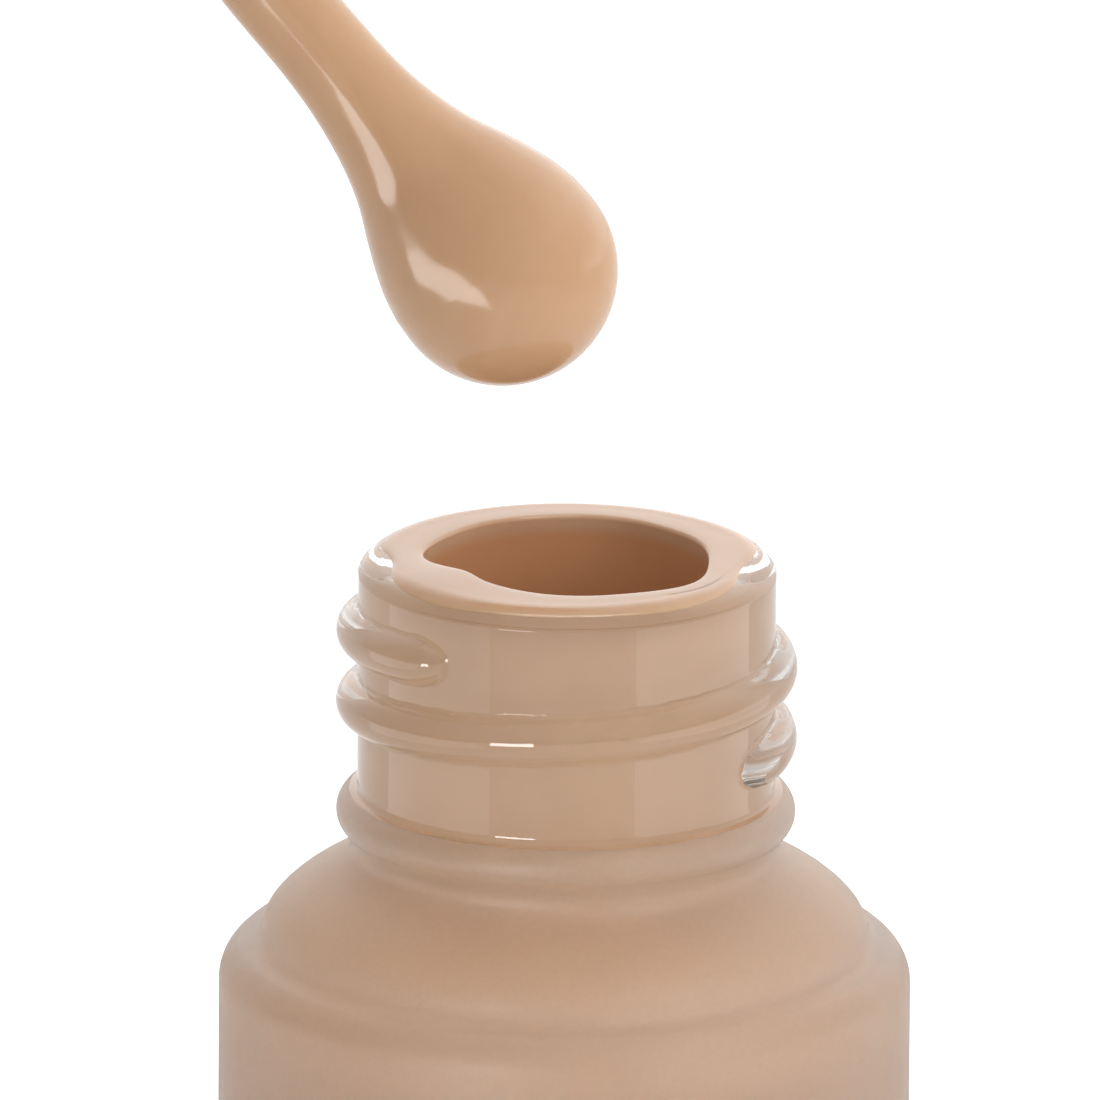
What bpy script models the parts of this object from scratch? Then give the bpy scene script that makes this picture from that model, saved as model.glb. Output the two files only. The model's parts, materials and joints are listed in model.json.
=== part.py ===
"""A foundation bottle, open, with its cap and wand held over the mouth.

Metres, +Z up. The origin is the middle of the face that the bottle stands on.
Lengths below are in millimetres; MM turns them into metres where meshes are made.
Heights on the neck are measured down from the mouth, so they are negative.
Heights on the wand run along its axis, up from the middle of its ball end.
"""

import math

import bmesh
import bpy
from mathutils import Vector

MM = 0.001
SIDES = 32  # flats round a full turn
GAP = 0.3  # between pieces that touch

# Bottle
MOUTH_HEIGHT = 90.0
BODY_RADIUS = 15.0
NECK_RADIUS = 9.0
BORE_RADIUS = 6.75
LIP_TOP = -0.35
LIP_ROUND = 0.8
BEAD_HEIGHT = -11.35
BEAD_ROUND = 1.0
BEAD_RADIUS = 9.86
WAIST_RADIUS = 9.2
WAIST_HEIGHT = -12.7
DOME_RADIUS = 13.2
STEP_HEIGHT = -17.1
SHOULDER_ROUND = 1.9
CAVITY_RADIUS = 12.6
FLOOR_HEIGHT = 7.0
HEEL_ROUND = 2.0
RECESS_RADIUS = 10.6
RECESS_DEPTH = 0.6
LABEL_RADIUS = 10.2

# Screw thread, right-handed, single start. Angles run anticlockwise from +X.
PITCH = 3.175
CREST_RADIUS = 9.93
RIDGE_ROUND = 1.1
THREAD_TOP_ANGLE = 243.0
THREAD_TOP_HEIGHT = -2.62
THREAD_SWEEP = 637.0
RUN_OUT = 14.0  # degrees over which each end of a ridge sinks into its wall

# Liquid
LEVEL = -12.0
FILM_RADIUS = 6.15
FILM_OUTER = 6.55
FILM_EDGE = 7.9

# Ball end of the wand, its neck and the liquid over them
BALL_RADIUS = 5.0
COATED_STEM_RADIUS = 2.0
FLARE_START = 0.3
FLARE_LENGTH = 10.0
COAT_START = 3.2
COAT_END = 44.0
DROP_RIM = -0.5
DROP_INNER = 4.35
TIP_RADIUS = 4.0
TIP_TOP = 7.0
STEM_RADIUS = 1.35
STEM_START = 1.5
SHANK_RADIUS = 1.8

# Where the wand is held: its ball end over the mouth, leaning towards -X
BALL_X = -2.9
BALL_ABOVE_MOUTH = 12.85
WAND_LEAN = 38.5

# Cap, on the wand's axis. SEAT is where its liner would meet the mouth.
SEAT = 69.0
CAP_RADIUS = 15.0
CAP_INNER = 13.6
CAP_RIM = SEAT - 16.6
CAP_TOP = SEAT + 22.0
CAP_ROOF = 1.5
CAP_EDGE_ROUND = 1.6
LINER_THICK = 1.0
PLATE_THICK = 1.7
SKIRT_INNER = 10.25
SKIRT_OUTER = 11.5
SKIRT_END = SEAT - 12.3
CAP_RIDGE_ROUND = 1.0
CAP_RIDGE_CREST = 9.4
CAP_RIDGE_SWEEP = 450.0
RIB_COUNT = 6
RIB_THICK = 1.0
HEAD_RADIUS = 4.0
HEAD_THICK = 1.3


def clear_scene():
    for thing in list(bpy.data.objects):
        bpy.data.objects.remove(thing)


def material(name, colour, roughness, metallic=0.0):
    made = bpy.data.materials.new(name)
    made.use_nodes = True
    shader = made.node_tree.nodes["Principled BSDF"]
    shader.inputs["Base Color"].default_value = (*colour, 1.0)
    shader.inputs["Roughness"].default_value = roughness
    shader.inputs["Metallic"].default_value = metallic
    made.diffuse_color = (*colour, 1.0)
    return made


def arc(centre, radii, start, end, steps):
    """Points (radius, height) on an arc, from one angle to another in degrees; radii is one number or a pair."""
    across, up = radii if isinstance(radii, tuple) else (radii, radii)
    turns = [math.radians(start + (end - start) * i / steps) for i in range(steps + 1)]
    return [(centre[0] + across * math.cos(a), centre[1] + up * math.sin(a)) for a in turns]


def bezier(ends, handles, steps):
    """Points on a cubic curve between two ends."""
    (r0, h0), (r3, h3) = ends
    (r1, h1), (r2, h2) = handles
    points = []
    for i in range(steps + 1):
        t = i / steps
        u = 1 - t
        weights = (u**3, 3 * u * u * t, 3 * u * t * t, t**3)
        radius = sum(w * r for w, r in zip(weights, (r0, r1, r2, r3)))
        height = sum(w * h for w, h in zip(weights, (h0, h1, h2, h3)))
        points.append((radius, height))
    return points


def lifted(points, by):
    return [(radius, height + by) for radius, height in points]


def finish_mesh(name, shape, finish, parent=None):
    """Turns a bmesh into a named, smooth-shaded object under its parent."""
    bmesh.ops.recalc_face_normals(shape, faces=shape.faces)
    mesh = bpy.data.meshes.new(name)
    shape.to_mesh(mesh)
    shape.free()
    mesh.shade_smooth()
    mesh.set_sharp_from_angle(angle=math.radians(35))
    mesh.materials.append(finish)
    made = bpy.data.objects.new(name, mesh)
    bpy.context.scene.collection.objects.link(made)
    made.parent = parent
    return made


def turned(name, outline, finish, parent=None, ring=False):
    """Spins an outline of (radius, height) points once round the Z axis. A ring's outline closes on itself."""
    shape = bmesh.new()
    corners = [shape.verts.new((r * MM, 0, h * MM)) for r, h in outline]
    edges = [shape.edges.new(pair) for pair in zip(corners, corners[1:])]
    if ring:
        edges.append(shape.edges.new((corners[-1], corners[0])))
    bmesh.ops.spin(
        shape,
        geom=corners + edges,
        cent=(0, 0, 0),
        axis=(0, 0, 1),
        angle=math.tau,
        steps=SIDES,
        use_merge=True,
    )
    bmesh.ops.remove_doubles(shape, verts=shape.verts, dist=1e-6)
    return finish_mesh(name, shape, finish, parent)


def helical_ridge(name, section, root, top, sweep, finish, parent=None):
    """Sweeps a section of (radius, height) points down a helix; both ends shrink into the root radius."""
    top_angle, top_height = top
    stations = round(sweep / 360 * SIDES)
    shape = bmesh.new()
    rings = []
    for i in range(stations + 1):
        down = sweep * i / stations
        from_end = min(down, sweep - down) / RUN_OUT
        full = 1.0 if from_end >= 1 else math.sqrt(1 - (1 - from_end) ** 2)
        size = max(full, 0.1)
        turn = math.radians(top_angle - down)
        height = top_height - PITCH * down / 360
        ring = []
        for radius, rise in section:
            out = root + (radius - root) * size
            spot = (out * math.cos(turn), out * math.sin(turn), height + rise * size)
            ring.append(shape.verts.new(Vector(spot) * MM))
        rings.append(ring)
    around = len(section)
    for upper, lower in zip(rings, rings[1:]):
        for k in range(around):
            after = (k + 1) % around
            shape.faces.new((upper[k], upper[after], lower[after], lower[k]))
    shape.faces.new(rings[0])
    shape.faces.new(reversed(rings[-1]))
    return finish_mesh(name, shape, finish, parent)


def fuse(target, helper):
    """Joins a helper's shape to a piece and leaves the helper out of the render."""
    union = target.modifiers.new("join_" + helper.name, "BOOLEAN")
    union.operation = "UNION"
    union.solver = "EXACT"
    union.object = helper
    helper.hide_render = True
    helper.display_type = "WIRE"


def pivot(name, location, lean=0.0):
    """An empty that carries a moving piece; a positive lean tips its Z axis towards -X."""
    made = bpy.data.objects.new(name, None)
    bpy.context.scene.collection.objects.link(made)
    made.location = Vector(location) * MM
    made.rotation_euler = (0, -math.radians(lean), 0)
    made.empty_display_size = 0.01
    return made


def club_radius(along):
    """Outer radius of the coated wand, this far along its axis from the ball's middle."""
    share = min(max((along - FLARE_START) / FLARE_LENGTH, 0.0), 1.0)
    swell = 0.5 + 0.5 * math.cos(math.pi * share)
    return COATED_STEM_RADIUS + (BALL_RADIUS - COATED_STEM_RADIUS) * swell


def neck_and_shoulder():
    """The outside of the glass, from the lip down to the straight wall, in heights from the mouth."""
    outer_lip = NECK_RADIUS - LIP_ROUND
    bead_middle = BEAD_RADIUS - BEAD_ROUND
    wall_angle = math.degrees(math.acos((NECK_RADIUS - bead_middle) / BEAD_ROUND))
    lip = arc((outer_lip, LIP_TOP - LIP_ROUND), LIP_ROUND, 90, 0, 4)
    bead = arc((bead_middle, BEAD_HEIGHT), BEAD_ROUND, wall_angle, -60, 6)
    dome = bezier(
        ((WAIST_RADIUS, WAIST_HEIGHT), (DOME_RADIUS, STEP_HEIGHT)),
        ((WAIST_RADIUS + 0.6, WAIST_HEIGHT - 1.6), (DOME_RADIUS, WAIST_HEIGHT - 1.0)),
        9,
    )
    shoulder_middle = (BODY_RADIUS - SHOULDER_ROUND, STEP_HEIGHT - SHOULDER_ROUND)
    shoulder = arc(shoulder_middle, SHOULDER_ROUND, 72, 0, 5)
    return lip + bead + dome + shoulder


def heel():
    """The foot of the glass, from the straight wall to the middle of the recess under it."""
    foot = arc((BODY_RADIUS - HEEL_ROUND, HEEL_ROUND), HEEL_ROUND, 0, -90, 4)
    recess = [(RECESS_RADIUS + 0.3, 0), (RECESS_RADIUS, RECESS_DEPTH), (0, RECESS_DEPTH)]
    return foot + recess


def cavity(inset):
    """The inside of the glass from floor to neck, drawn in by an inset on every side."""
    radius = CAVITY_RADIUS - inset
    bore = BORE_RADIUS - inset
    floor = FLOOR_HEIGHT + inset
    corner = 2.0
    base = [(0, floor)] + arc((radius - corner, floor + corner), corner, -90, 0, 3)
    top = MOUTH_HEIGHT - inset
    inner_shoulder = bezier(
        ((radius, top - 21.5), (bore, top - 13.0)),
        ((radius, top - 15.6), (bore, top - 17.0)),
        9,
    )
    return base + inner_shoulder


def glass_bottle(glass):
    inner_lip = arc((BORE_RADIUS + LIP_ROUND, LIP_TOP - LIP_ROUND), LIP_ROUND, 180, 90, 4)
    top = lifted(inner_lip + neck_and_shoulder(), MOUTH_HEIGHT)
    outline = cavity(0) + top + heel()
    bottle = turned("glass_bottle", outline, glass)
    middle = CREST_RADIUS - RIDGE_ROUND
    section = arc((middle, 0), RIDGE_ROUND, -100, 100, 8)
    start = (THREAD_TOP_ANGLE, MOUTH_HEIGHT + THREAD_TOP_HEIGHT)
    ridge = helical_ridge("thread_ridge", section, middle - 0.2, start, THREAD_SWEEP, glass)
    fuse(bottle, ridge)


def base_label(paper):
    outline = [(0, 0), (LABEL_RADIUS, 0), (LABEL_RADIUS, RECESS_DEPTH - GAP), (0, RECESS_DEPTH - GAP)]
    turned("base_label", outline, paper)


def foundation_fill(liquid):
    surface = MOUTH_HEIGHT + LEVEL
    outline = cavity(GAP) + [(BORE_RADIUS - GAP, surface), (0, surface)]
    turned("foundation_fill", outline, liquid)


def foundation_neck_film(liquid):
    """The liquid left on the wall of the bore and over the inner edge of the lip."""
    turn = (BORE_RADIUS + LIP_ROUND, LIP_TOP - LIP_ROUND)
    under = arc(turn, turn[0] - FILM_OUTER, 180, 90, 4)
    over = arc(turn, (turn[0] - FILM_RADIUS, -turn[1] + 0.05), 90, 180, 5)
    foot = LEVEL + GAP
    edge = [(FILM_EDGE, under[-1][1]), (FILM_EDGE, over[0][1] - 0.05)]
    outline = [(FILM_RADIUS, foot), (FILM_OUTER, foot)] + under + edge + over
    turned("foundation_neck_film", lifted(outline, MOUTH_HEIGHT), liquid, ring=True)


def foundation_drop(liquid, parent):
    """The liquid that hangs under the ball end, as a bowl round the tip."""
    rim = math.degrees(math.asin(DROP_RIM / BALL_RADIUS))
    inner_rim = math.degrees(math.asin(DROP_RIM / DROP_INNER))
    outer = arc((0, 0), BALL_RADIUS, -90, rim, 9)
    inner = arc((0, 0), DROP_INNER, inner_rim, -90, 8)
    turned("foundation_drop", [(0, -BALL_RADIUS)] + outer[1:] + inner[:-1] + [(0, -DROP_INNER)], liquid, parent)


def foundation_coat(liquid, parent):
    """The liquid over the tip's neck and the stem, a sleeve that thins upwards."""
    steps = 9
    flare_end = FLARE_START + FLARE_LENGTH
    heights = [COAT_START + (flare_end - COAT_START) * i / steps for i in range(steps + 1)]
    outer = [(club_radius(h), h) for h in heights]
    thick = [0.6 if h < TIP_TOP - 1 else 0.35 for h in heights]
    inner = [(r - t, h) for (r, h), t in zip(outer, thick)]
    bore = STEM_RADIUS + GAP
    end = [(COATED_STEM_RADIUS, COAT_END - 1), (bore + 0.1, COAT_END), (bore, COAT_END)]
    turned("foundation_coat", outer + end + inner[::-1], liquid, parent, ring=True)


def applicator_tip(rubber, parent):
    """The soft ball pushed over the end of the stem, with a blind socket for it."""
    ball = arc((0, 0), TIP_RADIUS, -90, 28, 10)
    neck = [(club_radius(h) - 0.95, h) for h in (3.2, 4.4, 5.6)]
    rim = club_radius(TIP_TOP) - 0.65
    socket = STEM_RADIUS + GAP
    top = [(rim, TIP_TOP), (socket, TIP_TOP), (socket, STEM_START - GAP), (0, STEM_START - GAP)]
    turned("applicator_tip", [(0, -TIP_RADIUS)] + ball[1:] + neck + top, rubber, parent)


def wand_stem(plastic, parent):
    """The rod, with a thicker shank through the liner and a head that rests on the inner cap."""
    head = SEAT + LINER_THICK + GAP + PLATE_THICK + GAP
    outline = [
        (0, STEM_START),
        (STEM_RADIUS - 0.2, STEM_START),
        (STEM_RADIUS, STEM_START + 0.3),
        (STEM_RADIUS, SEAT - 4.5),
        (SHANK_RADIUS, SEAT - 3),
        (SHANK_RADIUS, head),
        (HEAD_RADIUS, head),
        (HEAD_RADIUS, head + HEAD_THICK - 0.3),
        (HEAD_RADIUS - 0.3, head + HEAD_THICK),
        (0, head + HEAD_THICK),
    ]
    turned("wand_stem", outline, plastic, parent)


def cap_shell(plastic, parent):
    """The outer cap: a plain cup, mouth down."""
    roof = CAP_TOP - CAP_ROOF
    edge = arc((CAP_RADIUS - CAP_EDGE_ROUND, CAP_TOP - CAP_EDGE_ROUND), CAP_EDGE_ROUND, 90, 0, 5)
    rim = arc((CAP_RADIUS - 0.4, CAP_RIM + 0.4), 0.4, 0, -90, 3)
    inside = [(CAP_INNER + 0.2, CAP_RIM), (CAP_INNER, CAP_RIM + 0.2), (CAP_INNER, roof - 1), (CAP_INNER - 1, roof)]
    turned("cap_shell", [(0, CAP_TOP)] + edge + rim + inside + [(0, roof)], plastic, parent)


def inner_cap(plastic, parent):
    """The threaded cup inside the shell: plate, skirt, screw ridge and the ribs that centre it."""
    plate = SEAT + LINER_THICK + GAP
    flange = CAP_INNER - GAP
    hole = SHANK_RADIUS + GAP
    outline = [
        (hole, plate),
        (SKIRT_INNER, plate),
        (SKIRT_INNER, SKIRT_END + 0.4),
        (SKIRT_INNER + 0.4, SKIRT_END),
        (SKIRT_OUTER, SKIRT_END),
        (SKIRT_OUTER, plate),
        (flange, plate),
        (flange, plate + PLATE_THICK),
        (hole, plate + PLATE_THICK),
    ]
    cap = turned("inner_cap", outline, plastic, parent, ring=True)
    middle = CAP_RIDGE_CREST + CAP_RIDGE_ROUND
    section = arc((middle, 0), CAP_RIDGE_ROUND, 80, 280, 8)
    start = (THREAD_TOP_ANGLE, SEAT + THREAD_TOP_HEIGHT - PITCH / 2)
    fuse(cap, helical_ridge("cap_ridge", section, middle + 0.2, start, CAP_RIDGE_SWEEP, plastic, parent))
    length = plate - SKIRT_END - 1
    for i in range(RIB_COUNT):
        turn = math.tau * i / RIB_COUNT
        inner, outer = SKIRT_OUTER - 0.4, flange
        shape = bmesh.new()
        bmesh.ops.create_cube(shape, size=1)
        bmesh.ops.scale(shape, verts=shape.verts, vec=Vector((outer - inner, RIB_THICK, length + 0.5)) * MM)
        spot = Vector(((outer + inner) / 2, 0, plate + 0.5 - (length + 0.5) / 2)) * MM
        bmesh.ops.translate(shape, verts=shape.verts, vec=spot)
        rib = finish_mesh(f"rib_{i + 1}", shape, plastic, parent)
        rib.rotation_euler = (0, 0, turn)
        fuse(cap, rib)


def seal_liner(foam, parent):
    hole = SHANK_RADIUS + GAP
    outer = SKIRT_INNER - 0.35
    outline = [(hole, SEAT), (outer, SEAT), (outer, SEAT + LINER_THICK), (hole, SEAT + LINER_THICK)]
    turned("seal_liner", outline, foam, parent, ring=True)


def main():
    clear_scene()
    glass = material("glass", (0.80, 0.79, 0.76), 0.15)
    liquid = material("foundation", (0.56, 0.35, 0.22), 0.2)
    paper = material("label_paper", (0.85, 0.83, 0.79), 0.8)
    rubber = material("applicator_rubber", (0.60, 0.50, 0.42), 0.6)
    stem_plastic = material("stem_plastic", (0.78, 0.72, 0.66), 0.35)
    shell_plastic = material("cap_plastic", (0.62, 0.50, 0.42), 0.45)
    inner_plastic = material("inner_cap_plastic", (0.86, 0.85, 0.82), 0.4)
    foam = material("liner_foam", (0.90, 0.89, 0.86), 0.85)

    glass_bottle(glass)
    base_label(paper)
    foundation_fill(liquid)
    foundation_neck_film(liquid)

    ball = (BALL_X, 0, MOUTH_HEIGHT + BALL_ABOVE_MOUTH)
    drop_pivot = pivot("drop_pivot", ball)
    wand_axis = pivot("wand_axis", ball, WAND_LEAN)
    foundation_drop(liquid, drop_pivot)
    foundation_coat(liquid, wand_axis)
    applicator_tip(rubber, wand_axis)
    wand_stem(stem_plastic, wand_axis)
    cap_shell(shell_plastic, wand_axis)
    inner_cap(inner_plastic, wand_axis)
    seal_liner(foam, wand_axis)


main()
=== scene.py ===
# %% [markdown]
# # A foundation bottle with its wand held over the mouth
#
# The solid model comes in as a fixed frame. This lesson puts the looks on it: clear glass that turns
# frosted below the bead, foundation that fills the bottle and films its lip, a wand coated in liquid, and a
# plain moulded cap. Every place below is worked out from the frame, so nothing has to be fitted by eye.

import json
import math

import bmesh
import bpy
from mathutils import Matrix, Vector


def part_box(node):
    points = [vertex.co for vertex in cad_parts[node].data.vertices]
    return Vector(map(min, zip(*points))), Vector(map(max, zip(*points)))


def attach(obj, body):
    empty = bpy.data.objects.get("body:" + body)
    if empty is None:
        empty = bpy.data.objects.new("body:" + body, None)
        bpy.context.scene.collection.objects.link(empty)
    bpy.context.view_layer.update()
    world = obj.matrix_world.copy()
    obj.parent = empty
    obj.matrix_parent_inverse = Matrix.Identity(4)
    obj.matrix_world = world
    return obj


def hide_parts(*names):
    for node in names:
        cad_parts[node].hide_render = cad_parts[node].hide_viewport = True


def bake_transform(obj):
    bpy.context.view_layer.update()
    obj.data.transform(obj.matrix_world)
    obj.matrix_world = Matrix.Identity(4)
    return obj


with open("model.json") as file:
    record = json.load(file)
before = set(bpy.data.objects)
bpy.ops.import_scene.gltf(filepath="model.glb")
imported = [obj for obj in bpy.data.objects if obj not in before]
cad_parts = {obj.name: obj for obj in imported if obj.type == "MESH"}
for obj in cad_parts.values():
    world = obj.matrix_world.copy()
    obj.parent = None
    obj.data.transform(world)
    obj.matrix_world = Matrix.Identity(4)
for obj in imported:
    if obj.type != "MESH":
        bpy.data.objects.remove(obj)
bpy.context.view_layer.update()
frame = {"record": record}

# %% [markdown]
# Lengths are written in millimetres, as on a drawing, and turned into metres in one place. The frame gives
# the landmarks: the mouth is the highest level of the wetted lip, and the middle of the ball end is the point
# about which the wand tilts.

# %% Landmarks
MM = 0.001
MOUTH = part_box("glass_bottle")[1].z / MM + 0.35
JOINTS = {joint["name"]: joint for joint in frame["record"]["behaviour"]["joints"]}
BALL = Vector(JOINTS["applicator_tilt"]["pos_m"])
WAND_AXIS = Vector(JOINTS["cap_turn"]["axis"])
WAND_PLACE = Matrix.Translation(BALL) @ WAND_AXIS.to_track_quat("Z", "Y").to_matrix().to_4x4()
print("mouth at", MOUTH, "mm, ball end at", BALL, "along", WAND_AXIS)

# %% [markdown]
# The camera stands far off with a long lens, so upright edges stay parallel, and looks down a little into
# the mouth. A roll of less than half a degree sets the bottle upright in the frame.

# %% Camera
CAMERA_ELEVATION = 16.2
CAMERA_DISTANCE = 1500
FIELD_WIDTH = 47.55
CAMERA_ROLL = 0.4
camera_data = bpy.data.cameras.new("camera")
camera_data.sensor_width = 36
camera_data.lens = 36 * CAMERA_DISTANCE / FIELD_WIDTH
camera = bpy.data.objects.new("camera", camera_data)
bpy.context.scene.collection.objects.link(camera)
tilt = math.radians(CAMERA_ELEVATION)
target = Vector((-0.76, 0, MOUTH + 0.3)) * MM
camera.location = target + Vector((0, -math.cos(tilt), math.sin(tilt))) * CAMERA_DISTANCE * MM
look = (target - camera.location).to_track_quat("-Z", "Y").to_matrix().to_4x4()
roll = Matrix.Rotation(math.radians(CAMERA_ROLL), 4, "Z")
camera.matrix_world = Matrix.Translation(camera.location) @ look @ roll
bpy.context.scene.camera = camera
print("lens", round(camera_data.lens, 1), "mm")

# %% [markdown]
# Small helpers for node trees keep the material cells short. `put` adds a node and sets its sockets, and
# `wire` joins two sockets.

# %% Node helpers
def put(tree, kind, at=(0, 0), **values):
    node = tree.nodes.new(kind)
    node.location = at
    for name, value in values.items():
        label = name.replace("_", " ")
        if label in node.inputs:
            node.inputs[label].default_value = value
        else:
            setattr(node, name, value)
    return node


def wire(tree, source, target):
    tree.links.new(source, target)


def new_material(name):
    made = bpy.data.materials.new(name)
    made.use_nodes = True
    return made, made.node_tree, made.node_tree.nodes["Principled BSDF"]


# %% [markdown]
# A studio on white. The camera and the glass see a plain white sky, but the light that falls on things comes
# from a sky that is dim in front and bright behind and to the right, so that faces stay rich in colour and
# edges go pale. Each bright area is a soft lobe: how closely a direction agrees with the lobe's own.

# %% Sky
scene = bpy.context.scene
scene.view_settings.view_transform = "Standard"
world = bpy.data.worlds.new("studio")
scene.world = world
world.use_nodes = True
sky = world.node_tree
SKY_BASE = 0.40
SKY_LOBES = (
    ((0.1, 1.0, 0.05), 0.0, 1.0, 0.7),
    ((0.0, 0.96, 0.28), 0.8, 0.99, 0.45),
    ((0.75, 0.45, 0.45), 0.72, 0.98, 0.55),
    ((0.95, 0.15, -0.25), 0.86, 0.99, 1.0),
    ((0.3, -0.3, 0.9), 0.3, 1.0, 0.35),
)
direction = put(sky, "ShaderNodeTexCoord", (-1300, -300))
total = None
for i, (aim, outside, inside, strength) in enumerate(SKY_LOBES):
    agree = put(sky, "ShaderNodeVectorMath", (-1050, -250 * i), operation="DOT_PRODUCT")
    agree.inputs[1].default_value = Vector(aim).normalized()
    wire(sky, direction.outputs["Generated"], agree.inputs[0])
    lobe = put(sky, "ShaderNodeMapRange", (-850, -250 * i), interpolation_type="SMOOTHSTEP")
    lobe.inputs["From Min"].default_value = outside
    lobe.inputs["From Max"].default_value = inside
    lobe.inputs["To Max"].default_value = strength
    wire(sky, agree.outputs["Value"], lobe.inputs["Value"])
    added = put(sky, "ShaderNodeMath", (-600, -250 * i), operation="ADD")
    added.inputs[0].default_value = SKY_BASE
    if total:
        wire(sky, total.outputs[0], added.inputs[0])
    wire(sky, lobe.outputs["Result"], added.inputs[1])
    total = added
print("sky lobes", len(SKY_LOBES))

# %% [markdown]
# The lobes must not show behind the bottle or through its clear glass. The sky could be a picture of a
# studio with a white wall, but Light Path tells the two uses apart: what the camera or the glass looks at
# gets one plain white level, and only the falling light gets the lobes.

# %% White behind the bottle
ray = put(sky, "ShaderNodeLightPath", (-900, 400))
seen = put(sky, "ShaderNodeMath", (-600, 300), operation="MAXIMUM")
wire(sky, ray.outputs["Is Camera Ray"], seen.inputs[0])
wire(sky, ray.outputs["Is Transmission Ray"], seen.inputs[1])
level = put(sky, "ShaderNodeMix", (-300, 100), data_type="FLOAT")
level.inputs[3].default_value = 1.2
wire(sky, seen.outputs[0], level.inputs[0])
wire(sky, total.outputs[0], level.inputs[2])
wire(sky, level.outputs[0], sky.nodes["Background"].inputs["Strength"])
sky.nodes["Background"].inputs["Color"].default_value = (1, 1, 1, 1)
print("white level", level.inputs[3].default_value)

# %% [markdown]
# The floor is a pale disc. Where the camera sees it, it gives a little light of its own, so that it stays
# white right up to the bottle's foot. From below it is clear, so that the underside can be looked at.

# %% Floor
floor_shape = bmesh.new()
bmesh.ops.create_circle(floor_shape, cap_ends=True, segments=96, radius=3.0)
floor_mesh = bpy.data.meshes.new("floor")
floor_shape.to_mesh(floor_mesh)
floor_shape.free()
floor = bpy.data.objects.new("floor", floor_mesh)
scene.collection.objects.link(floor)
floor_material, tree, shader = new_material("floor_white")
shader.inputs["Base Color"].default_value = (0.92, 0.92, 0.92, 1)
shader.inputs["Roughness"].default_value = 0.9
shader.inputs["Emission Color"].default_value = (1, 1, 1, 1)
glow = put(tree, "ShaderNodeLightPath", (-600, -300))
dim = put(tree, "ShaderNodeMath", (-300, -300), operation="MULTIPLY_ADD")
dim.inputs[1].default_value = 0.35
dim.inputs[2].default_value = 0.2
wire(tree, glow.outputs["Is Camera Ray"], dim.inputs[0])
wire(tree, dim.outputs[0], shader.inputs["Emission Strength"])
under = put(tree, "ShaderNodeNewGeometry", (-600, 200))
only_top = put(tree, "ShaderNodeMath", (-300, 200), operation="SUBTRACT")
only_top.inputs[0].default_value = 1.0
wire(tree, under.outputs["Backfacing"], only_top.inputs[1])
wire(tree, only_top.outputs[0], shader.inputs["Alpha"])
floor_mesh.materials.append(floor_material)
print("floor", floor.name)

# %% [markdown]
# Every lamp here is a rectangular sheet, as a softbox or a white card is. One function hangs such a sheet and
# says whether it shapes the light, shows in the gloss, or both. A second finds a place by how far round and
# how high it lies from a spot, and a third keeps a lamp to chosen pieces by light linking.

# %% Hanging a lamp
def sheet_lamp(name, place, aim, size, brightness, shapes, shows):
    """A rectangular lamp in millimetres; brightness is that of its face, beside white paper at 1."""
    data = bpy.data.lights.new(name, "AREA")
    data.shape = "RECTANGLE"
    data.size, data.size_y = size[0] * MM, size[1] * MM
    data.energy = brightness * math.pi * data.size * data.size_y
    lamp = bpy.data.objects.new(name, data)
    scene.collection.objects.link(lamp)
    lamp.location = Vector(place) * MM
    lamp.rotation_mode = "QUATERNION"
    lamp.rotation_quaternion = (Vector(aim) * MM - lamp.location).to_track_quat("-Z", "Y")
    lamp.visible_camera = False
    lamp.visible_transmission = shapes
    lamp.visible_diffuse = shapes
    lamp.visible_glossy = shows
    return lamp


def seen_from(spot, turn, rise, distance):
    """A place at this turn to the right of the camera's side and this rise, in degrees, from a spot."""
    across, up = math.radians(turn), math.radians(rise)
    flat = math.cos(up) * distance
    away = (flat * math.sin(across), -flat * math.cos(across), math.sin(up) * distance)
    return tuple(a + b for a, b in zip(spot, away))


def only_on(lamp, name):
    """Keeps a lamp to the pieces that are later linked into the collection that this returns."""
    group = bpy.data.collections.new(name)
    lamp.light_linking.receiver_collection = group
    return group


# %% [markdown]
# Two kinds of lamp. The key, up on the right, only shapes the light and is not seen in the gloss. The cards
# do the opposite: each shows in the gloss and lights nothing, as a studio adds a card for its
# reflection alone. On the wand, one card makes the bright patch on the ball end and a small one the streak
# up the stem. On the glass, a narrow one makes the dashes along thread and lip, and two faint wide ones make
# the upright bands. On the film of liquid, a card overhead lifts the bore's far edge, and a weak second lamp
# on the left fills the bore.

# %% Lamps
BALL_SPOT = tuple(BALL / MM)
NECK_SPOT = (0, -9, MOUTH - 6)
LIGHTS_ONLY = (True, False)
SHOWS_ONLY = (False, True)
sheet_lamp("key_right", (240, -200, 270), (0, 0, 90), (260, 260), 2.4, *LIGHTS_ONLY)
window_place = seen_from(BALL_SPOT, -46, -21, 250)
window = sheet_lamp("window_card", window_place, BALL_SPOT, (300, 158), 5, *SHOWS_ONLY)
streak_place = seen_from(BALL_SPOT, -13, -24, 250)
streak = sheet_lamp("streak_card", streak_place, BALL_SPOT, (24, 13), 5, *SHOWS_ONLY)
glint_place = seen_from(NECK_SPOT, -28, -3, 160)
glint = sheet_lamp("glint_card", glint_place, NECK_SPOT, (62, 36), 15, *SHOWS_ONLY)
left_place = seen_from(NECK_SPOT, -80, -16, 160)
left_band = sheet_lamp("left_band_card", left_place, NECK_SPOT, (220, 70), 0.8, *SHOWS_ONLY)
right_place = seen_from(NECK_SPOT, 80, -13, 160)
right_band = sheet_lamp("right_band_card", right_place, NECK_SPOT, (260, 90), 0.9, *SHOWS_ONLY)
fill_left = sheet_lamp("fill_left", (-170, -170, 220), (0, 0, 90), (130, 130), 1.5, *LIGHTS_ONLY)
edge_place = (0, -25, MOUTH + 160)
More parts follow.
